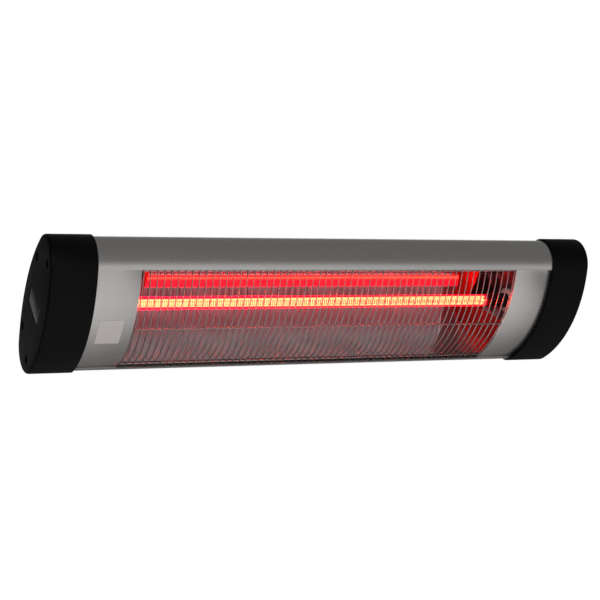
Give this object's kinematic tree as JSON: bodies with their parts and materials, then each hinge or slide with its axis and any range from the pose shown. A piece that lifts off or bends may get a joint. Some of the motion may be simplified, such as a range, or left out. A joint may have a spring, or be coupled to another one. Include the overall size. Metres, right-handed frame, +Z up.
{
  "type": "electric bar heater",
  "caption": "Wall-mounted infrared bar heater: quartz tube before a trough reflector behind a wire grille, oval aluminium body with black end caps, tilting on a wall bracket.",
  "frame": {"origin": "middle of the wall bracket's back face, on the wall", "axes": "+X along the heater towards the end with the cable gland, +Y into the wall, +Z up; the heater faces -Y and, as stored, 40 degrees downwards"},
  "size_m": [0.65, 0.1598, 0.1437],
  "materials": {
    "anodised_aluminium": "satin natural anodised extrusion",
    "reflector_aluminium": "bright rolled reflector sheet, semi-specular",
    "grille_wire": "bright chromium-plated welded wire",
    "black_plastic": "fine-textured black heat-resistant moulding",
    "gland_plastic": "plain black polyamide",
    "seal_rubber": "black silicone",
    "badge_metal": "brushed plate, bare",
    "sticker_film": "pale printed-film blank, bare",
    "zinc_steel": "zinc-plated steel",
    "plate_steel": "aluminised steel sheet",
    "ruby_quartz": "ruby-coated quartz",
    "glow_coil": "resistance wire at red to yellow heat",
    "tube_end_metal": "dark oxidised end cap of the tube",
    "white_ceramic": "white steatite ceramic",
    "spring_steel": "blued spring steel",
    "lead_sleeve": "off-white braided glass-fibre sleeve",
    "earth_sleeve": "green and yellow sleeve with a plated ring terminal",
    "brass_screw": "plain brass",
    "black_steel": "black powder coat",
    "friction_fibre": "brown pressed fibre"
  },
  "bodies": {
    "bracket": {"wall_bracket": "black_steel", "pivot_bolts": "zinc_steel", "pivot_washers": "zinc_steel", "friction_washers": "friction_fibre", "pivot_nuts": "zinc_steel"},
    "heater": {"rear_housing": "anodised_aluminium", "front_panel_left": "anodised_aluminium", "front_panel_right": "anodised_aluminium", "grille": "grille_wire", "rating_sticker": "sticker_film", "end_cap_left": "black_plastic", "end_cap_right": "black_plastic", "cap_seal_left": "seal_rubber", "cap_seal_right": "seal_rubber", "badge_plate": "badge_metal", "cap_screws_left": "zinc_steel", "cap_screws_right": "zinc_steel", "reflector": "reflector_aluminium", "end_wall_left": "reflector_aluminium", "end_wall_right": "reflector_aluminium", "end_plate_left": "plate_steel", "end_plate_right": "plate_steel", "plate_screws": "zinc_steel", "quartz_tube": "ruby_quartz", "heating_coil": "glow_coil", "tube_cap_left": "tube_end_metal", "tube_cap_right": "tube_end_metal", "tube_bush_left": "white_ceramic", "tube_bush_right": "white_ceramic", "bush_clip_left": "spring_steel", "bush_clip_right": "spring_steel", "lead_left": "lead_sleeve", "lead_right": "lead_sleeve", "lead_grommets": "seal_rubber", "terminal_block": "white_ceramic", "terminal_screws": "brass_screw", "earth_lead": "earth_sleeve", "earth_screw": "brass_screw", "cable_gland": "gland_plastic", "gland_nut": "gland_plastic", "tilt_lug_left": "black_steel", "tilt_lug_right": "black_steel", "lug_bolts": "zinc_steel", "lug_nuts": "zinc_steel"}
  },
  "joints": [
    {"name": "tilt", "type": "hinge", "parent": "bracket", "child": "heater", "pos_m": [0, -0.05, 0.008], "axis": [1, 0, 0], "range_deg": [-40, 15]}
  ]
}
